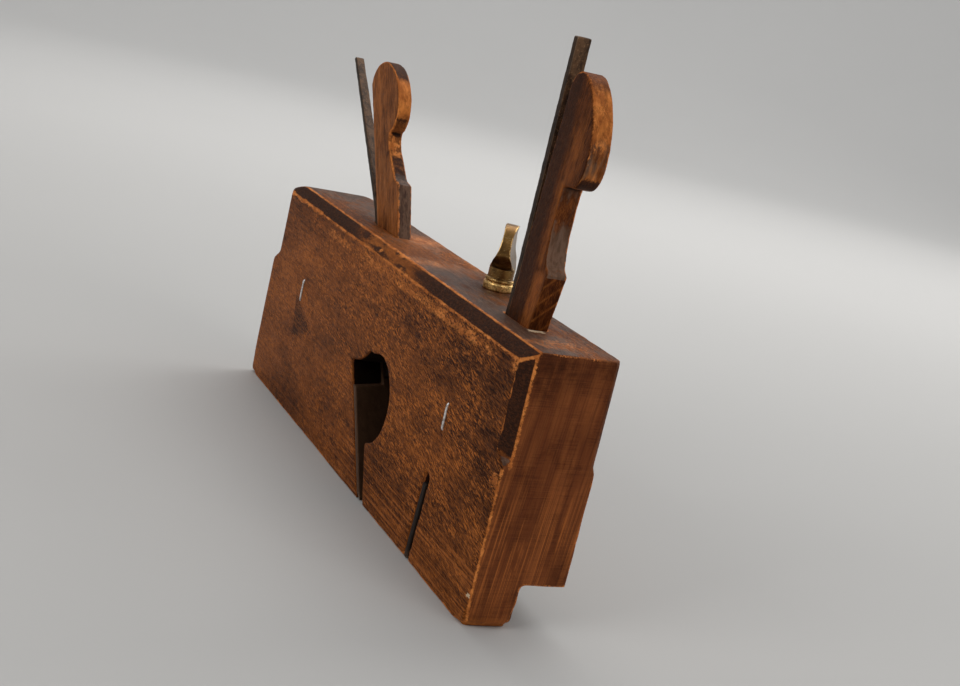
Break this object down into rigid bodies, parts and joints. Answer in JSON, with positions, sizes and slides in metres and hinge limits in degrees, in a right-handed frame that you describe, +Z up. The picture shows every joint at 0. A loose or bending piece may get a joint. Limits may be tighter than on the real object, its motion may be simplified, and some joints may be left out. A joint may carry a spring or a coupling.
{
  "type": "wooden dado plane",
  "caption": "Wooden dado plane with a skewed cutting iron and a nicker, each held by a wedge, a side escapement and a brass screw depth stop.",
  "frame": {"origin": "middle of the sole: halfway from heel to toe, halfway across the tongue, on the sole's face", "axes": "+X from the heel to the toe, +Y from the tongue's right face to the shoulder side, +Z up from the sole"},
  "size_m": [0.2414, 0.032, 0.1688],
  "materials": {
    "stock_wood": "old beech, dark with wear and polish",
    "wedge_wood": "old beech, worn on the arrises",
    "old_steel": "forged, dark brown with age",
    "plain_steel": "dull",
    "old_brass": "aged, with dark hollows and bright wear",
    "staple_wire": "bright wire"
  },
  "bodies": {
    "stock": {"body": "stock_wood", "heel_staple": "staple_wire", "toe_staple": "staple_wire", "stop_bush": "old_brass", "side_plate": "old_brass", "side_plate_screws": "old_brass"},
    "main_iron": {"main_iron": "old_steel"},
    "main_wedge": {"main_wedge": "wedge_wood"},
    "nicker_iron": {"nicker_iron": "old_steel"},
    "nicker_wedge": {"nicker_wedge": "wedge_wood"},
    "screw": {"thumbscrew": "old_brass", "retaining_collar": "plain_steel", "collar_pin": "plain_steel"},
    "depth_stop": {"stop_bar": "plain_steel", "stop_shoe": "old_brass", "shoe_screws": "plain_steel"}
  },
  "joints": [
    {"name": "main_iron_set", "type": "slide", "parent": "stock", "child": "main_iron", "axis": [0.6184, 0, -0.7859], "range_m": [-0.004, 0.0015]},
    {"name": "main_wedge_slide", "type": "slide", "parent": "stock", "child": "main_wedge", "axis": [-0.6184, 0, 0.7859], "range_m": [0, 0.07]},
    {"name": "nicker_iron_set", "type": "slide", "parent": "stock", "child": "nicker_iron", "axis": [-0.0663, 0, -0.9978], "range_m": [-0.0015, 0.0015]},
    {"name": "nicker_wedge_slide", "type": "slide", "parent": "stock", "child": "nicker_wedge", "axis": [0.0663, 0, 0.9978], "range_m": [0, 0.055]},
    {"name": "thumbscrew_turn", "type": "hinge", "parent": "stock", "child": "screw", "pos_m": [0.04435, 0.01575, 0.084], "axis": [0, 0, 1], "range_deg": [-1620, 1050]},
    {"name": "stop_slide", "type": "slide", "parent": "stock", "child": "depth_stop", "axis": [0, 0, 1], "range_m": [-0.0037, 0.0057]}
  ],
  "couplings": [
    {"joint": "thumbscrew_turn", "follows": "stop_slide", "rad_per_m": -4947.4}
  ]
}
